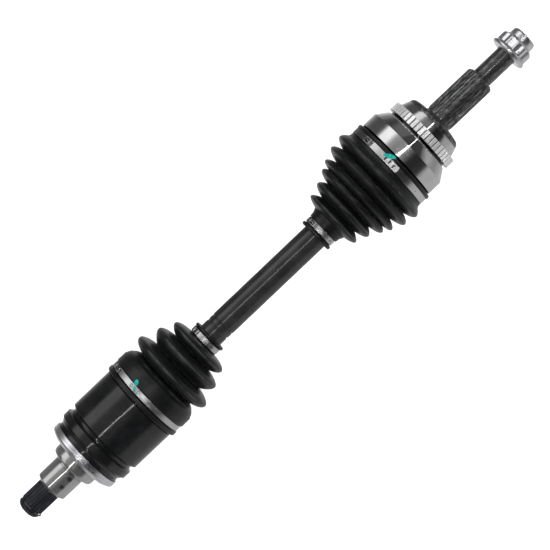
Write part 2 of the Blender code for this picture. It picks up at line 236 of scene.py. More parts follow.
def wire(tree, socket, value):
    """Feeds a socket from another socket, from a node's first output or with a plain value."""
    if isinstance(value, bpy.types.NodeSocket):
        tree.links.new(value, socket)
    elif isinstance(value, bpy.types.Node):
        tree.links.new(value.outputs[0], socket)
    else:
        socket.default_value = value


def math_node(tree, operation, a, b=0.0, clamp=False):
    made = tree.nodes.new("ShaderNodeMath")
    made.operation = operation
    made.use_clamp = clamp
    wire(tree, made.inputs[0], a)
    wire(tree, made.inputs[1], b)
    return made.outputs[0]


def fill_ramp(ramp, stops):
    """Sets a colour ramp's stops; each is (place, grey) or (place, (r, g, b))."""
    ends = ramp.elements
    while len(ends) < len(stops):
        ends.new(1.0)
    for end, (place, value) in zip(ends, stops):
        end.position = place
        rgb = value if isinstance(value, tuple) else (value,) * 3
        end.color = (*rgb, 1.0)


class Shader:
    """A node material with one Principled shader, and short ways to wire it."""

    def __init__(self, name, metallic=0.0, ior=1.5):
        self.material = bpy.data.materials.new(name)
        self.material.use_nodes = True
        self.tree = self.material.node_tree
        self.tree.nodes.clear()
        self.out = self.tree.nodes.new("ShaderNodeOutputMaterial")
        self.bsdf = self.tree.nodes.new("ShaderNodeBsdfPrincipled")
        self.tree.links.new(self.bsdf.outputs[0], self.out.inputs[0])
        self.bsdf.inputs["Metallic"].default_value = metallic
        self.bsdf.inputs["IOR"].default_value = ior
        self.place = self.tree.nodes.new("ShaderNodeTexCoord").outputs["Object"]
        self.split = self.node("ShaderNodeSeparateXYZ", Vector=self.place)

    def node(self, kind, props=None, **inputs):
        made = self.tree.nodes.new(kind)
        for key, value in (props or {}).items():
            setattr(made, key, value)
        for key, value in inputs.items():
            self.put(made.inputs[key.replace("_", " ")], value)
        return made

    def put(self, socket, value):
        wire(self.tree, socket, value)

    def math(self, *inputs):
        return math_node(self.tree, *inputs)

    def attribute(self, key, output="Fac"):
        """What the mesh stores at each point under this name."""
        return self.node("ShaderNodeAttribute", {"attribute_name": key}).outputs[output]

    def noise(self, scale, detail=3.0, stretch=None, rough=0.55):
        """3D noise in the piece's own frame; stretch scales each axis first."""
        vector = self.place
        if stretch:
            vector = self.node("ShaderNodeMapping", Vector=self.place, Scale=stretch)
        made = self.node("ShaderNodeTexNoise", Scale=scale, Detail=detail, Roughness=rough)
        self.put(made.inputs["Vector"], vector)
        return made.outputs[0]

    def lines(self, scale, detail=2.0):
        """Turning marks: noise that changes only along the axle."""
        made = self.node("ShaderNodeTexNoise", {"noise_dimensions": "1D"}, Scale=scale, Detail=detail)
        self.put(made.inputs["W"], self.split.outputs["X"])
        return made.outputs[0]

    def ramp(self, factor, *stops):
        made = self.node("ShaderNodeValToRGB", Fac=factor)
        fill_ramp(made.color_ramp, stops)
        return made.outputs[0]

    def spread(self, factor, low, high, to_low, to_high):
        made = self.node("ShaderNodeMapRange", Value=factor)
        for key, value in (("From Min", low), ("From Max", high), ("To Min", to_low), ("To Max", to_high)):
            made.inputs[key].default_value = value
        return made.outputs[0]

    def color(self, value):
        self.put(self.bsdf.inputs["Base Color"], value)

    def mix_in_painted_light(self, plain, share, rgb):
        """Sets the colour to plain, going over to rgb where share is 1. Here it lays painted shade and
        painted highlights over the base colour.
        """
        mixed = self.node("ShaderNodeMix", {"data_type": "RGBA"})
        self.put(mixed.inputs[0], share)
        self.put(mixed.inputs[6], plain)
        mixed.inputs[7].default_value = (*rgb, 1.0)
        self.color(mixed.outputs[2])

    def roughness(self, value):
        self.put(self.bsdf.inputs["Roughness"], value)

    def bump(self, *heights):
        """Stacks (height, depth in mm) pairs as bump."""
        last = None
        for height, depth in heights:
            made = self.node("ShaderNodeBump", Height=height, Distance=depth * MM)
            made.inputs["Strength"].default_value = 1.0
            if last is not None:
                self.tree.links.new(last.outputs[0], made.inputs["Normal"])
            last = made
        self.tree.links.new(last.outputs[0], self.bsdf.inputs["Normal"])


def steel(name, light, dark, rough_low, rough_high, marks=0.004, grain=0.002):
    """Turned or ground bare steel with turning marks, faint stains and small scratches."""
    s = Shader(name, metallic=1.0)
    stain = s.noise(38.0, 4.0)
    s.color(s.ramp(stain, (0.35, dark), (0.62, light)))
    streak = s.noise(90.0, 5.0, (6.0, 1.0, 1.0))
    s.roughness(s.spread(streak, 0.3, 0.7, rough_low, rough_high))
    s.bump((s.lines(2600.0), marks), (s.noise(900.0, 2.0), grain))
    return s.material


def black_paint(name, tint, rough_low, rough_high, peel, marks):
    """Sprayed black paint over turned metal: orange peel, faint turning marks and dusty patches."""
    s = Shader(name)
    dust = s.noise(60.0, 6.0, rough=0.65)
    lighter = tuple(c * 1.9 + 0.002 for c in tint)
    s.color(s.ramp(dust, (0.4, tint), (0.75, lighter)))
    s.roughness(s.spread(s.noise(140.0, 4.0), 0.3, 0.7, rough_low, rough_high))
    s.bump((s.lines(1500.0), marks), (s.noise(520.0, 2.5), peel))
    return s.material


def rubber():
    """Moulded black boot rubber: satin, with a fine pebble, a faint bloom and painted highlight lines on
    its pleats.
    """
    s = Shader("boot_rubber_fine", ior=1.44)
    s.place = s.attribute("rest_place", "Vector")
    bloom = s.noise(45.0, 5.0, rough=0.6)
    along = s.node("ShaderNodeSeparateXYZ", Vector=s.place).outputs["X"]
    # Painted highlight: thin pale lines round the boots at the listed places along the pleats, where light
    # glints on them.
    painted_crest_highlight = None
    for x in (128.6, 140.9, 150.4, 161.0, 169.8, 176.6, 363.4, 377.6, 391.4, 401.2, 414.2, 426.0):
        away = s.math("ABSOLUTE", s.math("SUBTRACT", along, x * MM))
        line = s.spread(away, 0.2 * MM, 1.3 * MM, 1.0, 0.0)
        painted_crest_highlight = line if painted_crest_highlight is None else s.math("MAXIMUM", painted_crest_highlight, line)
    painted_crest_highlight = s.math("MULTIPLY", painted_crest_highlight, s.spread(s.noise(160.0, 3.0), 0.35, 0.65, 0.1, 1.0))
    black = s.ramp(bloom, (0.35, (0.0020, 0.0024, 0.0026)), (0.75, (0.0054, 0.0062, 0.0065)))
    s.mix_in_painted_light(black, painted_crest_highlight, (0.030, 0.032, 0.033))
    s.roughness(s.spread(s.noise(120.0, 4.0), 0.3, 0.7, 0.31, 0.41))
    s.bsdf.inputs["Sheen Weight"].default_value = 0.02
    s.bsdf.inputs["Sheen Roughness"].default_value = 0.4
    s.bump((s.noise(1400.0, 2.0), 0.012), (s.noise(180.0, 2.0), 0.03))
    return s.material


def oxide(name, tint, rough_low, rough_high, streaks, glare=5.0):
    """Black-oxide steel with oil on it, in streaks along the teeth."""
    s = Shader(name, metallic=0.9)
    oil = s.noise(520.0, 5.0, (0.3, 1.0, 1.0), 0.7)
    light = tuple(c * glare for c in tint)
    s.color(s.ramp(oil, (0.42, tint), (0.66, light)))
    s.roughness(s.spread(oil, 0.35, 0.65, rough_high, rough_low))
    s.bump((oil, streaks), (s.noise(1300.0, 2.0), 0.006))
    return s.material


def zinc(name):
    """Bright zinc plate: pale, slightly cloudy, with a fine crystal grain."""
    s = Shader(name, metallic=1.0)
    cloud = s.noise(120.0, 5.0)
    s.color(s.ramp(cloud, (0.3, (0.76, 0.755, 0.78)), (0.7, (0.88, 0.875, 0.90))))
    s.roughness(s.spread(s.noise(420.0, 4.0), 0.3, 0.7, 0.26, 0.36))
    s.bump((s.noise(1500.0, 3.0), 0.002), (s.noise(260.0, 2.0), 0.004))
    return s.material


def grained_zinc():
    """Dull zinc over a sintered ring: pale and rough, with a sparkle of fine pits, and painted shade where
    the mesh stores it.
    """
    s = Shader("sintered_zinc", metallic=0.74)
    pits = s.noise(1300.0, 3.0, rough=0.7)
    pale = s.ramp(pits, (0.3, (0.62, 0.62, 0.63)), (0.6, (0.93, 0.93, 0.94)))
    # Painted shade: the stored value colours the slot floors near black.
    s.mix_in_painted_light(pale, s.attribute("painted_shade"), (0.06, 0.06, 0.063))
    s.roughness(s.spread(s.noise(420.0, 4.0), 0.3, 0.7, 0.30, 0.42))
    s.bump((pits, 0.04))
    return s.material


def dab_paint():
    """A brushed dab of teal marking paint."""
    s = Shader("teal_marker", ior=1.45)
    s.color(s.ramp(s.noise(500.0, 3.0), (0.35, (0.004, 0.22, 0.19)), (0.7, (0.02, 0.42, 0.37))))
    s.roughness(s.spread(s.noise(700.0), 0.3, 0.7, 0.5, 0.7))
    s.bsdf.inputs["Specular IOR Level"].default_value = 0.03
    s.bump((s.noise(900.0, 2.0), 0.03))
    return s.material


def journal_steel():
    """Ground journal steel, with two dark finger marks on the side that faces up."""
    s = Shader("turned_steel", metallic=0.88)
    stain = s.noise(38.0, 4.0)
    smudge = None
    for x, y, z in ((-17.1, -7.5, 15.8), (-6.0, -7.5, 15.8)):
        near = s.node("ShaderNodeVectorMath", {"operation": "DISTANCE"})
        s.put(near.inputs[0], s.place)
        near.inputs[1].default_value = (x * MM, y * MM, z * MM)
        spot = s.spread(near.outputs["Value"], 0.6 * MM, 4.0 * MM, 1.0, 0.0)
        smudge = spot if smudge is None else s.math("MAXIMUM", smudge, spot)
    dirt = s.math("MULTIPLY", smudge, s.spread(s.noise(420.0, 3.0), 0.3, 0.6, 0.35, 0.75))
    shade = s.math("SUBTRACT", stain, s.math("MULTIPLY", dirt, 0.85))
    s.color(s.ramp(shade, (0.0, 0.10), (0.3, (0.40, 0.40, 0.40)), (0.62, (0.48, 0.48, 0.47))))
    s.roughness(s.spread(s.noise(300.0, 5.0, (6.0, 1.0, 1.0)), 0.3, 0.7, 0.05, 0.13))
    s.bump((s.lines(2600.0), 0.003), (s.noise(900.0, 2.0), 0.001))
    return s.material


def bell_steel():
    """Polished steel with painted shade in its two grooves, and a faint speckle on its plain cylinder."""
    s = Shader("polished_steel", metallic=1.0)
    along = s.split.outputs["X"]
    groove_shade = None
    # Painted shade: the surfaces inside the two grooves are coloured near black.
    for low, high in ((0.4472, 0.4491), (0.4766, 0.4795)):
        here = s.math("MULTIPLY", s.math("GREATER_THAN", along, low), s.math("LESS_THAN", along, high))
        groove_shade = here if groove_shade is None else s.math("ADD", groove_shade, here)
    light = s.ramp(s.noise(38.0, 4.0), (0.35, (0.60, 0.60, 0.605)), (0.62, (0.70, 0.70, 0.705)))
    s.mix_in_painted_light(light, groove_shade, (0.03, 0.03, 0.031))
    edge = s.math("MULTIPLY", s.math("GREATER_THAN", along, 0.4490), s.math("LESS_THAN", along, 0.4647))
    fleck = s.spread(s.noise(1100.0, 4.0, rough=0.7), 0.38, 0.62, 0.07, 0.17)
    plain = s.spread(s.noise(90.0, 5.0, (6.0, 1.0, 1.0)), 0.3, 0.7, 0.03, 0.055)
    extra = s.math("MULTIPLY", edge, s.math("SUBTRACT", fleck, plain))
    s.roughness(s.math("ADD", plain, extra))
    s.bump((s.lines(2600.0), 0.002), (s.noise(900.0, 2.0), 0.0015))
    return s.material


def band_steel():
    """Bright stainless strip. A value stored on the mesh paints shade into its recesses, and its sheen
    roughens a bent tail.
    """
    s = Shader("stainless_band", metallic=1.0)
    shade_variation = s.spread(s.noise(500.0, 3.0), 0.3, 0.7, 0.8, 1.15)
    light = s.ramp(s.noise(38.0, 4.0), (0.35, 0.60), (0.62, 0.70))
    # Painted shade: the stored value, made uneven by noise, darkens slots, lines and the window.
    s.mix_in_painted_light(light, s.math("MULTIPLY", s.attribute("painted_shade"), shade_variation, True), (0.035, 0.035, 0.037))
    base = s.spread(s.noise(90.0, 5.0, (6.0, 1.0, 1.0)), 0.3, 0.7, 0.14, 0.24)
    s.roughness(s.math("ADD", base, s.math("MULTIPLY", s.attribute("sheen"), 0.18)))
    s.bump((s.lines(2600.0), 0.002), (s.noise(900.0, 2.0), 0.003))
    return s.material


BRIGHT_STEEL = journal_steel()
RACE_STEEL = bell_steel()
BAND_STEEL = band_steel()
INNER_STEEL = steel("ground_bearing_steel", (0.66, 0.66, 0.67), (0.56, 0.56, 0.57),
                    0.08, 0.16, 0.002, 0.001)
FORGED_STEEL = steel("forged_dark_steel", (0.30, 0.30, 0.31), (0.20, 0.20, 0.21), 0.28, 0.45, 0.004, 0.02)
SPRING_STEEL = steel("blued_spring_steel", (0.16, 0.165, 0.18), (0.09, 0.095, 0.105),
                     0.22, 0.36, 0.003, 0.006)
HOUSING_PAINT = black_paint("gloss_black", (0.0046, 0.0048, 0.0052), 0.06, 0.13, 0.022, 0.002)
BAR_PAINT = black_paint("satin_black", (0.013, 0.013, 0.0135), 0.07, 0.13, 0.008, 0.002)
RUBBER = rubber()
STUB_OXIDE = oxide("stub_oxide", (0.040, 0.041, 0.047), 0.42, 0.55, 0.012, 1.6)
STEM_OXIDE = oxide("stem_oxide", (0.06, 0.06, 0.061), 0.26, 0.46, 0.05)
SHOULDER_OXIDE = oxide("shoulder_oxide", (0.050, 0.050, 0.051), 0.3, 0.42, 0.02)
THREAD_OXIDE = oxide("thread_oxide", (0.14, 0.14, 0.141), 0.10, 0.20, 0.004, 2.4)
ZINC = zinc("zinc_plate_fine")
RING_ZINC = grained_zinc()
TEAL = dab_paint()


def dress(piece, material, body, slot, *nodes):
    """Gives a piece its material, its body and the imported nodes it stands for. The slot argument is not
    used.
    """
    piece.data.materials.clear()
    piece.data.materials.append(material)
    if nodes:
        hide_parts(*nodes)
    if body:
        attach(piece, body)
    return piece


# ---------------------------------------------------------------- inboard joint


def stub_spline():
    """The splined end that goes into the differential, with its circlip groove."""
    angles, depth = toothed(STUB_TEETH, 0.36, 0.16)
    crest = 12.95
    root = 12.25
    groove = 11.0
    outline = [(-62.5, 0), (-62.5, 5.4), (-62.1, 7.4), (-61.3, 9.2), (-60.2, 10.8), (-58.8, 11.9),
               (-57.6, 12.7), (-56.6, crest), (-56.5, groove)]
    outline += [(-53.9, groove), (-53.8, crest), (-34.5, crest), (-31.5, crest), (-30.2, crest), (-30.2, 0)]
    fade = {-31.5: 0.4, -30.2: 0.0}

    def cut(x, r, a):
        for k, (px, pr) in enumerate(outline):
            if pr > 0:
                low = min(root, pr)
                r[k] = lerp(r[k], low, depth * fade.get(px, 1.0))
        return x, r

    piece = turned("stub_spline", outline, closed=False, relief=cut, angles=angles)
    return dress(piece, STUB_OXIDE, "inboard_housing", "housing_paint")


def stub_journal():
    """The bright seal journal and the shoulder collar beside it."""
    outline = rounded([(-30.2, 0), (-30.2, 12.2), (-29.6, 12.8, 0.5), (-26.6, 17.7, 1.6),
                       (-1.9, 17.7, 0.2), (-1.7, 16.6, 0.1), (-0.3, 16.6, 0.1), (0.0, 17.7),
                       (0.0, 20.4, 0.4), (1.6, 24.2, 2.2), (4.6, 25.3, 1.2), (11.6, 25.3), (11.6, 0)])
    piece = turned("stub_journal", outline, 192, closed=False)
    return dress(piece, BRIGHT_STEEL, "inboard_housing", "race_steel")


def track_radius(a, wide):
    """The radius of the three-lobed hollow at each angle: round tracks with flat floors."""
    reach = 27.0
    floor = 37.4
    ridge = 20.9
    third = TURN / 3
    off = (a + third / 2) % third - third / 2
    inside = wide**2 - (reach * np.sin(off)) ** 2
    lobe = reach * np.cos(off) + np.sqrt(np.maximum(inside, 0))
    lobe = np.minimum(lobe, floor / np.cos(off))
    return np.where((inside > 0) & (lobe > ridge), lobe, ridge)


def housing_cup():
    """The black cup: cone, raised ring and groove, long barrel, and the three tracks inside."""
    outer = rounded([(11.6, 0), (11.6, 28.2), (13.7, 29.0, 0.5), (15.8, 35.6, 1.5), (19.3, 39.75, 1.5),
                     (27.3, 39.6, 1.0), (30.0, 41.6, 0.8), (31.2, 42.1, 0.2), (32.3, 43.9, 0.6),
                     (40.2, 44.0, 0.3), (42.2, 41.0, 0.4), (43.2, 40.4, 0.4), (45.2, 40.4, 0.5),
                     (46.2, 41.0, 0.4), (47.8, 44.0, 0.6), (95.4, 44.0, 0.5), (96.3, 43.1, 0.4),
                     (118.0, 43.0, 0.5), (118.0, 41.4, 0.4)])
    # Inside, each row holds a share of the tracks' radius, and the mouth is opened between the tracks.
    inner = [(117.0, 1.0), (93.0, 1.0), (55.0, 1.0), (50.0, 0.97), (47.2, 0.75), (47.0, 0.0)]
    mouth = 28.8

    def hollow(x, r, a):
        shape = track_radius(a[0], 16.9)
        for k, (_, share) in enumerate(inner, len(outer)):
            r[k] = shape * share
        r[len(outer)] = np.maximum(shape, mouth)
        return x, r

    piece = turned("housing_cup", outer + inner, 240, closed=False, relief=hollow)
    return dress(piece, HOUSING_PAINT, "inboard_housing", "housing_paint", "inboard_housing")


def shield_ring():
    """The pressed zinc dust shield round the cup's neck."""
    outline = rounded([(12.3, 28.6), (11.9, 29.4, 0.3), (13.0, 35.2, 2.0), (15.8, 40.4, 1.2),
                       (17.4, 41.4, 0.5), (19.4, 41.4, 0.2), (19.7, 41.0, 0.15), (20.1, 41.0, 0.15),
                       (20.4, 41.4, 0.2), (23.2, 41.4, 0.4), (23.2, 40.2, 0.1), (17.9, 40.15, 0.8),
                       (14.2, 35.9, 1.6), (12.9, 29.2, 0.2), (12.3, 28.6)])
    piece = turned("shield_ring", outline[:-1], 192)
    return dress(piece, ZINC, "inboard_housing", "zinc_plate", "dust_shield")


def stub_snap_ring():
    """The round-wire circlip near the stub's end, open below."""
    middle = 12.5
    droop = 1.0
    wire = 0.85
    gap = math.radians(9)
    sides = 10
    steps = 90
    verts = []
    faces = []
    for k in range(steps + 1):
        a = math.radians(200) + gap + (TURN - 2 * gap) * k / steps
        for j in range(sides):
            b = TURN * j / sides
            r = middle + wire * math.cos(b) - droop * math.sin(a)
            verts.append(((-55.2 + wire * math.sin(b)) * MM, r * math.sin(a) * MM, r * math.cos(a) * MM))
    for k in range(steps):
        for j in range(sides):
            n = (j + 1) % sides
            faces.append([k * sides + j, k * sides + n, (k + 1) * sides + n, (k + 1) * sides + j])
    faces.append(list(reversed(range(sides))))
    faces.append(list(range(steps * sides, (steps + 1) * sides)))
    piece = mesh_object("stub_snap_ring", verts, faces)
    return dress(piece, SPRING_STEEL, "inboard_housing", "spring_steel", "stub_circlip")


# ---------------------------------------------------------------- boots


def flank(start, peak, bulge, steps=8):
    """Points of one side of a pleat, after start and up to peak.

    It is close to a quarter of a sine wave at bulge 0 and a quarter of an ellipse at 1.
    """
    (x0, r0), (x1, r1) = start, peak
    out = []
    for k in range(1, steps + 1):
        u = k / steps
        ex = x0 + (x1 - x0) * lerp(u, 1 - math.cos(u * math.pi / 2), bulge)
        er = r0 + (r1 - r0) * lerp(u, math.sin(u * math.pi / 2), 0.93 + 0.07 * bulge)
        out.append((ex, er))
    return out


def pleats(valleys, crests):
    """The outline through valleys (x, r) and the crests between them (x, r, left bulge, right bulge)."""
    out = [valleys[0]]
    for low, crest, after in zip(valleys, crests, valleys[1:]):
        peak = crest[:2]
        out += flank(low, peak, crest[2])
        out += flank(after, peak, crest[3])[-2::-1] + [after]
    return out


def offset_inward(outline, wall):
    """The outline moved by wall towards the axle side of the sheet, read back to front."""
    spots = np.array(outline, float)
    ahead = np.gradient(spots, axis=0)
    ahead /= np.maximum(np.linalg.norm(ahead, axis=1), 1e-9)[:, None]
    moved = spots + np.stack([ahead[:, 1], -ahead[:, 0]], 1) * wall
    return [tuple(p) for p in moved[::-1]]


def boot_object(name, loop):
    """A rubber piece turned from a closed outline, which keeps its rest coordinates for its finish."""
    piece = turned(name, loop, 176)
    mesh = piece.data
    co = np.zeros(len(mesh.vertices) * 3, np.float32)
    mesh.vertices.foreach_get("co", co)
    rest = mesh.attributes.new("rest_place", "FLOAT_VECTOR", "POINT")
    rest.data.foreach_set("vector", co)
    return piece


def inboard_boot():
    """The boot on the cup, in two halves that meet at the top of its first pleat.
    """
    top = (140.8, 48.0, 0.6, 0.65)
    outline = rounded([(97.0, 44.6), (97.0, 46.2, 0.5), (97.9, 46.9, 0.6), (101.6, 46.9, 0.5),
                       (102.5, 45.1, 0.4), (103.0, 44.7, 0.2), (109.2, 44.7, 0.2), (109.7, 46.3, 0.3),
                       (110.6, 46.7, 1.0), (120.3, 46.5, 3.0), (125.4, 44.0, 3.5), (129.4, 39.6, 3.5),
                       (132.4, 33.8)], 5)
    outline += pleats([(132.4, 33.8), (148.6, 30.4), (168.0, 23.4), (182.4, 20.0)],
                      [top, (160.8, 41.0, 0.0, 0.75), (176.4, 34.0, 0.15, 0.8)])[1:]
    outline += rounded([(182.4, 20.0), (182.9, 17.0, 0.5), (183.4, 16.4, 0.3), (190.2, 16.4, 0.2),
                        (190.6, 18.2, 0.4), (191.6, 18.9, 0.7), (193.6, 18.4, 0.9), (194.0, 15.2)], 5)[1:]
    wall = offset_inward(outline, BOOT_WALL)
    seam = 1 + int(np.argmin([abs(x - top[0]) for x, _ in outline]))
    back = len(outline) - seam
    halves = (("inboard_boot_cup_half", outline[:seam] + wall[back:]),
              ("inboard_boot_bar_half", outline[seam - 1:] + wall[:back + 1]))
    made = [dress(boot_object(name, loop), RUBBER, None, "boot_rubber", "inboard_boot")
            for name, loop in halves]
    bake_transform(made[0])
    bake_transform(made[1])


def outboard_boot():
    """The six-pleat boot from the bar up to the bell."""
    outline = rounded([(337.4, 14.6), (337.4, 18.0, 0.5), (338.2, 18.9, 0.7), (340.8, 18.9, 0.5),
                       (341.6, 16.7, 0.4), (341.9, 16.5, 0.2), (348.2, 16.5, 0.2), (348.7, 18.4, 0.3),
                       (353.0, 18.9, 3.0), (357.6, 21.0)], 5)
    outline += pleats([(357.6, 21.0), (369.5, 24.0), (383.0, 30.0), (393.4, 38.6), (403.9, 38.6),
                       (417.4, 43.4), (431.4, 50.0)],
                      [(362.8, 32.6, 0.3, 0.0), (376.2, 36.9, 0.4, 0.1), (389.0, 43.5, 0.55, 0.4),
                       (397.6, 48.4, 0.6, 0.25), (410.8, 53.5, 0.4, 0.4), (424.4, 55.6, 0.3, 0.05)])[1:]
    outline += rounded([(431.4, 50.0), (433.4, 49.2, 1.0), (435.2, 49.2, 0.4), (435.7, 48.2, 0.2),
                        (443.4, 48.2, 0.2), (443.6, 49.6, 0.3), (444.4, 50.1, 0.6), (446.9, 50.0, 0.7),
                        (447.6, 47.6)], 5)[1:]
    piece = boot_object("outboard_boot_pleats", outline + offset_inward(outline, BOOT_WALL))
    dress(piece, RUBBER, None, "boot_rubber", "outboard_boot")
    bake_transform(piece)


# ---------------------------------------------------------------- clamps


def fine_angles(low, high, fine, coarse):
    """Angles round the axle, close together from low to high degrees and wide apart elsewhere."""
    near = np.arange(low, high + fine / 2, fine)
    count = max(8, round((360 - (high - low)) / coarse))
    far = high + (360 - (high - low)) * np.arange(1, count) / count
    return np.radians(np.concatenate([near, far]))


def clamp(name, node, body, x0, x1, inner, thick, tail_end, flat_end, ear, reach, lines, slots, dimples):
    """A stainless clamp: a band, a second layer with a round tail, slots, lines and a hooked window, with
    painted shade in its recesses and past the window.

    Angles are in degrees: the tail stops at tail_end and is flat up to flat_end, and the window is at ear.
    The window's half length, reach, and the cross lines' distance from it are in mm along the band.
    slots are angles, and dimples are (angle, place across the band from -1 to 1, radius in mm).
    """
    middle = (x0 + x1) / 2
    half = (x1 - x0) / 2
    outer = inner + thick
    steps = 26
    columns = fine_angles(-72, 82, 0.45 if inner > 30 else 1.15, 3.0)
    rows = [(x0, inner)] + [(lerp(x0, x1, k / steps), outer) for k in range(steps + 1)] + [(x1, inner)]
    seen = {}

    def marks(x, r, a):
        wrapped = (a + math.pi) % TURN - math.pi
        arc = np.degrees(wrapped)
        mm = math.radians(1) * outer
        u = x - middle
        v = (arc - tail_end) * mm
        round_end = v - (half - np.sqrt(np.maximum(half**2 - (u * 0.96) ** 2, 0))) * 0.5
        tail = np.clip(round_end / 0.35 + 0.5, 0, 1)
        tail = tail * within(arc, (tail_end + 84) / 2, (84 - tail_end) / 2, 1.0)
        tail = tail * within(u, 0, half * 0.97, 0.2)
        top = tail * 0.62
        tilt = math.radians((tail_end + flat_end) / 2 + 4)
        plane = outer / np.cos(np.clip(wrapped - tilt, -0.6, 0.6)) - outer
        top += tail * smooth((flat_end - arc) / 6) * plane * 0.65
        # dark gathers painted shade: slots, cross lines, the window's inside, dimple rings and the band
        # past the window.
        dark = np.zeros_like(r)
        for spot in slots:
            if flat_end > tail_end:
                hole = within(u, 0, half * 0.55, 0.25) * within((arc - spot) * mm, 0, 0.65, 0.3)
                top -= hole * 0.5
            else:
                q = np.hypot(u / 1.25, (arc - spot) * mm)
                hole = within(q, 1.25, 0.35, 0.3) * 0.75
                top -= hole * 0.15
            dark = np.maximum(dark, hole)
        w = (arc - ear) * mm
        for spot in lines:
            rib = w + reach + spot
            line = within(u, 0, half * 0.9, 0.3) * within(rib, 0, 0.42, 0.3)
            top += within(u, 0, half * 0.9, 0.3) * within(rib - 0.85, 0, 0.4, 0.3) * 0.3 - line * 0.4
            dark = np.maximum(dark, line * 0.9)
        beyond = np.clip((w - reach - 0.4) / 0.5, 0, 1) * within(arc, ear + 22, 22, 2.0)
        dark = np.maximum(dark, beyond * 0.72)
        frame_out = within(u, 0, half * 0.88, 0.25) * within(w, 0, reach, 0.3)
        frame_in = within(u, 0, half * 0.6, 0.25) * within(w, 0, reach - 0.85, 0.3)
        hook = within(u, half * 0.1, half * 0.2, 0.25) * within(w + reach * 0.1, 0, reach * 0.36, 0.3)
        foot = within(u, -half * 0.08, half * 0.36, 0.25) * within(w + reach * 0.5, 0, 0.32, 0.25)
        raised = np.maximum(hook, foot)
        top += frame_out * 0.6 - frame_in * 1.2 + raised * 1.1
        dark = np.maximum(dark * (1 - frame_out), frame_in - raised * 0.85)
        for spot, place, size in dimples:
            q = np.hypot(u - place * half, (arc - spot) * mm)
            ring = np.clip((size - q) / 0.3 + 0.5, 0, 1)
            core = np.clip((size * 0.45 - q) / 0.3 + 0.5, 0, 1)
            top += core * 0.55 - ring * 0.4
            dark = np.maximum(dark, (ring - core) * 0.7)
        face = within(u, 0, half, 0.05)
        edge = np.clip((half - np.abs(u)) / 0.5, 0, 1)
        skin = r > inner + thick * 0.5
        lift = np.where(skin, top * face - (1 - edge) ** 2 * 0.22, 0)
        # The painted shade is stored on the mesh for the band's finish.
        seen["painted_shade"] = np.where(skin, dark, 0)
        seen["sheen"] = np.where(skin, tail, 0)
        return x, np.maximum(r + lift, inner + skin * 0.12)

    piece = turned(name, rows, relief=marks, angles=columns)
    for key, values in seen.items():
        paint_attribute(piece, key, values)
    return dress(piece, BAND_STEEL, body, "band_steel", node)


def clamps():
    """The four boot clamps."""
    clamp("cup_boot_clamp", "inboard_big_clamp", "inboard_housing", 103.05, 109.25, 44.95, 0.75,
          -70, -70, 61, 5.8, (0.8, 2.2), (22.8, 16, 10), ())
    clamp("inboard_bar_clamp", "inboard_small_clamp", "shaft", 184.0, 190.0, 16.65, 0.75,
          -70, -70, 50, 3.2, (1.2,), (), ((-19, 0.3, 0.9), (-32, -0.2, 1.0)))
    clamp("outboard_bar_clamp", "outboard_small_clamp", "shaft", 342.1, 348.1, 16.75, 0.75,
          -70, -70, 43, 4.4, (1.4, 2.9), (), ((-32, 0.1, 0.9), (-49, 0.0, 1.2)))
    clamp("bell_boot_clamp", "outboard_big_clamp", "wheel_end", 435.95, 443.2, 48.4, 0.8,
          -11, 8, 41.5, 3.5, (1.6, 3.6), (9.1, 2.6, -3.6), ((-47, -0.1, 0.55),))


def dab(name, body, points, widths, radius):
    """A thin stroke of marking paint on a round surface, through (x, angle in degrees) points."""
    steps = 14
    lift = 0.14
    path = np.array(points, float)
    path[:, 1] = np.radians(path[:, 1]) * radius
    ahead = np.gradient(path, axis=0)
    ahead /= np.linalg.norm(ahead, axis=1)[:, None]
    side = np.stack([-ahead[:, 1], ahead[:, 0]], 1)
    left = [path[k] + side[k] * widths[k] for k in range(len(path))]
    right = [path[k] - side[k] * widths[k] for k in range(len(path))]
    cap_a = [path[0] + widths[0] * (math.cos(t) * -side[0] - math.sin(t) * ahead[0])
             for t in np.linspace(0, math.pi, steps)[1:-1]]
    cap_b = [path[-1] + widths[-1] * (math.cos(t) * side[-1] + math.sin(t) * ahead[-1])
             for t in np.linspace(0, math.pi, steps)[1:-1]]
    edge = right[:1] + cap_a + left + cap_b + right[:0:-1]
    centre = np.mean(edge, 0)
    rings = ((1.0, 0.0), (0.97, lift * 0.7), (0.85, lift), (0.45, lift * 1.05))
    verts = []
    for share, height in rings:
        for p in edge:
            q = centre + (p - centre) * share
            r = radius + height
            verts.append((q[0] * MM, r * math.sin(q[1] / radius) * MM, r * math.cos(q[1] / radius) * MM))
    count = len(edge)
    faces = []
    for k in range(len(rings) - 1):
        for j in range(count):
            n = (j + 1) % count
            faces.append([k * count + j, k * count + n, (k + 1) * count + n, (k + 1) * count + j])
    faces.append(list(range((len(rings) - 1) * count, len(rings) * count)))
    faces.append(list(reversed(range(count))))
    piece = mesh_object(name, verts, faces)
    return dress(piece, TEAL, body, "boot_rubber")


# ---------------------------------------------------------------- bar


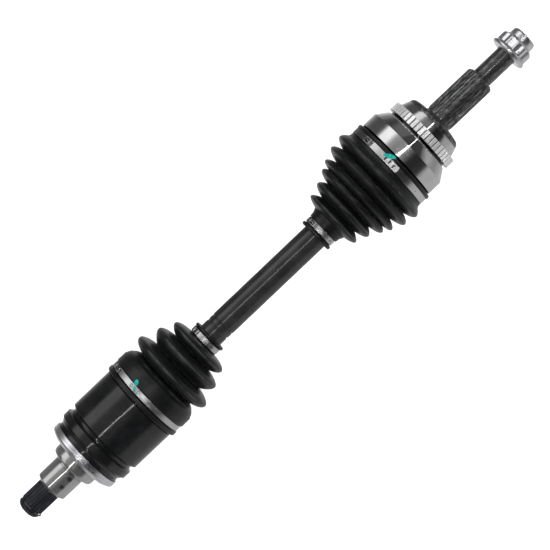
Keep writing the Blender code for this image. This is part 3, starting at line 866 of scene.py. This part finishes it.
def axle_bar():
    """The black bar with its two shallow grooves, necks and a spline at each end."""
    spline = 11.3
    outline = rounded([(70.0, 0), (70.0, 10.5), (70.8, spline, 0.2), (97.2, spline, 0.2), (97.6, 11.9, 0.4),
                       (166.0, 11.9, 6.0), (176.0, 13.6, 6.0), (202.2, 13.6, 0.5), (202.9, 13.0, 0.4),
                       (204.2, 13.0, 0.4), (204.9, 13.6, 0.5), (209.4, 13.75, 0.4), (209.9, 13.2, 0.3),
                       (210.6, 13.2, 0.3), (211.2, 13.9, 0.5), (330.0, 13.9), (398.0, 13.9, 6.0),
                       (406.0, 11.5, 6.0), (439.4, 11.5, 0.3), (439.9, 12.5, 0.3), (442.4, 12.5, 0.3),
                       (442.8, spline, 0.2), (470.0, spline, 0.2), (470.8, 10.5), (470.8, 0)])
    piece = turned("axle_bar", dense(outline, 212, 397, 12.0), 144, closed=False)
    return dress(piece, BAR_PAINT, "shaft", "bar_paint", "shaft_bar")


# ---------------------------------------------------------------- wheel end


def race_bell():
    """The polished bell of the outboard joint, from boot seat to shoulder, hollowed for balls and cage."""
    bore = 34.0
    groove_circle = 31.0
    groove = 10.0
    outer = rounded([(505.0, 0), (504.9, 24.0), (503.6, 29.6, 1.0), (502.2, 31.4, 1.0), (497.0, 33.7, 0.6),
                     (489.6, 36.3), (489.5, 38.5), (479.3, 38.5), (479.2, 36.4, 0.1),
                     (476.9, 36.4, 0.1), (476.4, 39.0, 0.3), (464.6, 47.5, 0.4),
                     (449.3, 47.5, 0.4), (448.4, 46.4, 0.3), (447.8, 46.0), (435.6, 46.0, 0.5),
                     (435.0, 45.4), (435.0, 41.0, 0.5)])
    inner = [(BALL_X + bore * math.cos(math.radians(t)), bore * math.sin(math.radians(t)))
             for t in (110, 102, 94, 82, 70, 58, 46, 34, 22, 10)]
    mouth = inner[0][0]
    outline = outer + [(mouth - 1.5, 40.6), *inner, (BALL_X + bore, 0)]
    count = len(outer)

    def cavity(x, r, a):
        sixth = TURN / 6
        off = (a[0] + sixth / 2) % sixth - sixth / 2
        across = groove_circle * np.abs(off)
        for k in range(count, len(outline) - 1):
            t = x[k][0] - BALL_X
            swing = math.sqrt(max(groove_circle**2 - t * t, 0)) if abs(t) < groove_circle else 0.0
            lift = np.sqrt(np.maximum(groove**2 - across**2, 0))
            r[k] = np.maximum(r[k], np.where(across < groove, swing + lift * (swing > 0), 0))
        return x, r

    piece = turned("race_bell", outline, 216, closed=False, relief=cavity)
    return dress(piece, RACE_STEEL, "wheel_end", "race_steel", "outer_race")


def stem_spline():
    """The outboard stem: a dark flat shoulder, a neck, then thirty oily teeth with chamfered ends."""
    angles, depth = toothed(STEM_TEETH, 0.34, 0.16)
    crest = 15.75
    root = 14.7
    spots = [(505.0, 0, 0), (505.0, 17.6, 0), (505.8, 16.4, 0), (507.4, 15.0, 0), (508.6, 15.2, 0.6),
             (510.2, crest, 1), (562.8, crest, 1), (564.4, 15.2, 1), (565.6, 13.9, 0.5), (566.3, 12.4, 0),
             (566.4, 11.2, 0), (566.4, 0, 0)]

    def cut(x, r, a):
        for k, (_, pr, share) in enumerate(spots):
            if pr > 0:
                r[k] = lerp(r[k], min(root, pr), depth * share)
        return x, r

    outline = [(p[0], p[1]) for p in spots]
    piece = turned("stem_spline", outline, closed=False, relief=cut, angles=angles)
    return dress(piece, STEM_OXIDE, "wheel_end", "race_steel")


def shoulder_band():
    """The dark chamfer and flat shoulder that the hub's bearing meets."""
    outline = rounded([(498.7, 31.6), (498.6, 33.05, 0.1), (502.3, 31.5, 1.0), (503.75, 29.6, 1.0),
                       (505.05, 24.0, 0.5), (505.15, 17.7), (504.8, 17.7), (504.7, 24.0), (503.3, 29.4)])
    piece = turned("shoulder_band", outline, 160)
    return dress(piece, SHOULDER_OXIDE, "wheel_end", "race_steel")


def stem_thread():
    """The M22 x 1.5 thread that the hub nut runs on."""
    crest = 11.1
    deep = 0.62
    first = 566.4
    last = 625.4
    step = THREAD_PITCH / 6
    count = round((last - first) / step)
    turns = [(lerp(first, last, k / count), crest) for k in range(count + 1)]
    rows = [(first, 0.0), *turns, (last, 0.0)]

    def cut(x, r, a):
        phase = (x / THREAD_PITCH - a / TURN) % 1.0
        vee = np.abs(phase - 0.5) * 2
        depth = deep * np.clip((1 - vee) * 1.5 - 0.4, 0, 1)
        ends = np.clip((x - first) / 2.0, 0, 1) * np.clip((last - x + 0.4) / 1.0, 0.0, 1)
        shape = r - depth * ends
        chamfer = crest - np.clip(1.6 - (last - x), 0, 1.6) * 0.8
        shape = np.minimum(shape, chamfer)
        shape = np.where(x < first + 1.2, np.minimum(shape, 10.3 + (x - first) * 0.3), shape)
        return x, np.where(r > 0, shape, 0)

    piece = turned("stem_thread", rows, 72, closed=False, relief=cut)
    return dress(piece, THREAD_OXIDE, "wheel_end", "race_steel")


def pulse_ring():
    """The zinc tone ring pressed on the bell: forty-eight flat teeth with narrow slots, with painted shade
    on the slot floors.
    """
    pitch = TURN / RING_TEETH
    stops = [(0.0, 0.3), (0.07, 0.0), (0.74, 0.0), (0.81, 0.3), (0.83, 1.0), (0.98, 1.0)]
    angles = np.array([(k + place + 0.12) * pitch for k in range(RING_TEETH) for place, _ in stops])
    depth = np.array([d for _ in range(RING_TEETH) for _, d in stops])
    outline = [(479.5, 38.7), (479.5, 40.6), (479.8, 40.9), (488.9, 40.9), (489.2, 40.6), (489.2, 38.7)]

    def cut(x, r, a):
        for k in range(1, 5):
            r[k] = lerp(r[k], 39.35, depth)
        return x, r

    piece = turned("pulse_ring", outline, relief=cut, angles=angles)
    # Painted shade: the deeper the slot, the darker its floor is coloured.
    paint_attribute(piece, "painted_shade", np.repeat(np.clip(depth - 0.3, 0, 0.7)[None, :] / 0.7, len(outline), 0))
    return dress(piece, RING_ZINC, "wheel_end", "zinc_plate", "tone_ring")


def flange_nut():
    """The twelve-point hub nut: round flange, points with a chamfered top, and a smooth locking collar."""
    pitch = TURN / NUT_POINTS
    per = 10
    angles = np.array([k * pitch + j * pitch / per for k in range(NUT_POINTS) for j in range(per)])
    off = np.abs((angles + pitch / 2) % pitch - pitch / 2)
    peak = 18.8
    flat = peak * math.cos(TURN / 12) / np.cos(TURN / 12 - off)
    blunt = np.minimum(flat, peak - 0.25)
    outline = rounded([(600.0, 11.4), (600.0, 16.6, 0.3), (601.0, 19.4, 0.7), (602.4, 20.4, 0.6),
                       (603.6, 20.4, 0.7), (606.0, 18.4, 0.6)], 4)
    points_from = len(outline)
    outline += [(606.8, 18.7), (614.4, 18.7), (615.9, 18.0), (617.6, 15.8), (618.7, 14.1)]
    points_to = len(outline)
    outline += rounded([(619.3, 13.9), (624.4, 13.8, 1.4), (626.3, 12.8, 0.8), (626.7, 12.2, 0.2),
                        (626.2, 11.4)], 4)

    def cut(x, r, a):
        for k in range(points_from, points_to):
            r[k] = np.minimum(blunt, outline[k][1])
        return x, r

    piece = turned("flange_nut", outline, relief=cut, angles=angles)
    return dress(piece, ZINC, "hub_nut", "zinc_plate", "hub_nut")


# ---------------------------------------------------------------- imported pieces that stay


def dress_inner_nodes():
    """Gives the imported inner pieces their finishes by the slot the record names."""
    finish = {"ground_steel": INNER_STEEL, "forged_steel": FORGED_STEEL, "spring_steel": SPRING_STEEL}
    for part in frame["record"]["subparts"]:
        node = frame["nodes"][part["node"]]
        look = finish.get(part["material_slot"])
        if look and not node.hide_render:
            node.data.materials.clear()
            node.data.materials.append(look)


# ---------------------------------------------------------------- studio


def reflection_tent():
    """Soft boxes and dark gaps round the table, seen only in glossy surfaces.

    The tent is a long drum along the axle. Its light changes with the angle round the drum: a thin bright
    tube overhead, a soft box to one side, a grey wall to the other and dark gaps between them.
    """
    reach = 4.0
    sides = 96
    length = 14.0
    centre = 0.28
    verts = []
    for end in (-length / 2, length / 2):
        for k in range(sides):
            a = TURN * k / sides
            verts.append((end + centre, reach * math.sin(a), reach * math.cos(a)))
    faces = []
    for k in range(sides):
        n = (k + 1) % sides
        faces.append([k, n, sides + n, sides + k])
    faces.append(list(range(sides)))
    faces.append(list(range(2 * sides - 1, sides - 1, -1)))
    mesh = bpy.data.meshes.new("tent")
    mesh.from_pydata(verts, [], faces)
    tent = bpy.data.objects.new("tent", mesh)
    bpy.context.scene.collection.objects.link(tent)
    look = bpy.data.materials.new("tent_light")
    look.use_nodes = True
    tree = look.node_tree
    tree.nodes.clear()
    out = tree.nodes.new("ShaderNodeOutputMaterial")
    glow = tree.nodes.new("ShaderNodeEmission")
    tree.links.new(glow.outputs[0], out.inputs[0])
    place = tree.nodes.new("ShaderNodeTexCoord")
    split = tree.nodes.new("ShaderNodeSeparateXYZ")
    tree.links.new(place.outputs["Object"], split.inputs[0])

    def calc(*inputs):
        return math_node(tree, *inputs)

    def levels_at(factor, stops):
        made = tree.nodes.new("ShaderNodeValToRGB")
        fill_ramp(made.color_ramp, stops)
        tree.links.new(factor, made.inputs[0])
        return made.outputs[0]

    def round_drum(degrees):
        """Where an angle lies on a ramp that runs from -180 to 180 degrees."""
        return (degrees + 180) / 360

    def limited(value, low, high):
        return calc("MINIMUM", calc("MAXIMUM", value, low), high)

    angle = calc("ARCTAN2", split.outputs["Y"], split.outputs["Z"])
    share = calc("ADD", calc("DIVIDE", angle, TURN), 0.5)
    scale = 1.6
    levels = [(-180, 0.8), (-165, 0.55), (-150, 0.52), (-78, 0.52), (-70, 0.4), (-64, 0.1), (-58, 0.05),
              (-40, 0.03), (-24, 0.03), (-17, 0.09), (-9, 0.2), (-1, 0.3), (8, 0.3), (12, 0.33), (18, 0.33),
              (25, 0.32), (38, 0.45), (44, 0.85), (49, 1.3), (70, 1.3), (75, 0.6), (79, 0.2), (86, 0.1),
              (114, 0.1), (126, 0.14), (145, 0.35), (160, 0.7), (180, 0.8)]
    walls = levels_at(share, [(round_drum(a), v / scale) for a, v in levels])
    levels = [(-180, 0.45), (-90, 0.45), (-76, 0.28), (-60, 0.06), (50, 0.07), (58, 0.14), (130, 0.15),
              (180, 0.3)]
    ends = levels_at(share, [(round_drum(a), v / scale) for a, v in levels])
    lean = calc("MULTIPLY", limited(calc("SUBTRACT", 0.73, split.outputs["X"]), -0.3, 1.3), 4.4 / 360)
    middle = 2.6
    half = 0.36
    soft = 0.24
    edges = [(0.0, 0.0), (round_drum(middle - half - soft), 0.0), (round_drum(middle - half), 1.0),
             (round_drum(middle + half), 1.0), (round_drum(middle + half + soft), 0.0)]
    tube = levels_at(calc("SUBTRACT", share, lean), edges)
    along = calc("ABSOLUTE", split.outputs["X"])
    fade = tree.nodes.new("ShaderNodeMapRange")
    tree.links.new(along, fade.inputs["Value"])
    for key, value in (("From Min", 2.2), ("From Max", 4.2), ("To Min", scale), ("To Max", scale * 0.65)):
        fade.inputs[key].default_value = value
    base = calc("MULTIPLY", walls, fade.outputs[0])
    distance = calc("ABSOLUTE", calc("SUBTRACT", split.outputs["X"], centre))
    far = limited(calc("MULTIPLY", calc("SUBTRACT", distance, 4.7), 0.8), 0.0, 1.0)
    caps = calc("MULTIPLY", calc("SUBTRACT", calc("MULTIPLY", ends, scale), base), far)
    total = calc("ADD", calc("ADD", base, caps), calc("MULTIPLY", tube, 15.0))
    tree.links.new(total, glow.inputs["Color"])
    mesh.materials.append(look)
    tent.visible_camera = False
    tent.visible_diffuse = False
    tent.visible_shadow = False
    tent.visible_transmission = False
    tent.visible_volume_scatter = False


def floor_and_air():
    """A plain pale table under the axle, and even white air round it."""
    low = CAD_BOX[0].z - 0.0002
    mesh = bpy.data.meshes.new("table")
    size = 7.0
    mesh.from_pydata([(-size, -size, low), (size, -size, low), (size, size, low), (-size, size, low)], [],
                     [(0, 1, 2, 3)])
    table = bpy.data.objects.new("table", mesh)
    bpy.context.scene.collection.objects.link(table)
    s = Shader("pale_table")
    s.color(s.ramp(s.noise(3.0, 2.0), (0.3, (0.86, 0.86, 0.86)), (0.7, (0.88, 0.88, 0.88))))
    s.roughness(0.9)
    s.bsdf.inputs["Specular IOR Level"].default_value = 0.1
    s.bsdf.inputs["Emission Color"].default_value = (1.0, 1.0, 1.0, 1.0)
    s.bsdf.inputs["Emission Strength"].default_value = 0.5
    mesh.materials.append(s.material)
    table.visible_glossy = False
    world = bpy.data.worlds.new("air")
    world.use_nodes = True
    world.node_tree.nodes["Background"].inputs["Color"].default_value = (1.0, 1.0, 1.0, 1.0)
    world.node_tree.nodes["Background"].inputs["Strength"].default_value = 1.45
    world.cycles_visibility.glossy = False
    bpy.context.scene.world = world
    bpy.context.scene.view_settings.view_transform = "Standard"


def camera():
    """Above the axle, a little towards the wheel end, turned so the axle crosses from corner to corner."""
    target = Vector((0.282, -0.00056, 0.0))
    data = bpy.data.cameras.new("camera")
    data.sensor_width = 36.0
    data.lens = 134.19
    data.clip_end = 50.0
    eye = bpy.data.objects.new("camera", data)
    eye.location = (0.322, -0.00056, 2.05)
    aim = (target - eye.location).to_track_quat("-Z", "Y").to_matrix()
    across = aim.inverted() @ Vector((1.0, 0.0, 0.0))
    lean = math.atan2(across.y, across.x)
    roll = Matrix.Rotation(lean - math.radians(43.5), 3, "Z")
    eye.matrix_world = Matrix.Translation(eye.location) @ (aim @ roll).to_4x4()
    bpy.context.scene.collection.objects.link(eye)
    bpy.context.scene.camera = eye


stub_spline()
stub_journal()
housing_cup()
shield_ring()
stub_snap_ring()
inboard_boot()
clamps()
axle_bar()
outboard_boot()
race_bell()
shoulder_band()
stem_spline()
stem_thread()
pulse_ring()
flange_nut()
dab("paint_dab_band", "inboard_housing", [(104.7, 14.8), (105.9, 16.6), (107.2, 18.6)],
    (0.8, 1.2, 0.9), 46.4)
dab("paint_dab_cuff", "inboard_housing", [(110.6, 19.6), (111.6, 20.8), (112.6, 21.6)],
    (1.7, 2.3, 1.8), 46.75)
dab("paint_dab_bell", "wheel_end", [(441.0, 13.4), (442.4, 10.5), (443.8, 7.5), (445.4, 4.4), (446.3, 2.4)],
    (0.8, 1.7, 2.2, 2.1, 1.2), 50.1)
dress_inner_nodes()
reflection_tent()
floor_and_air()
camera()
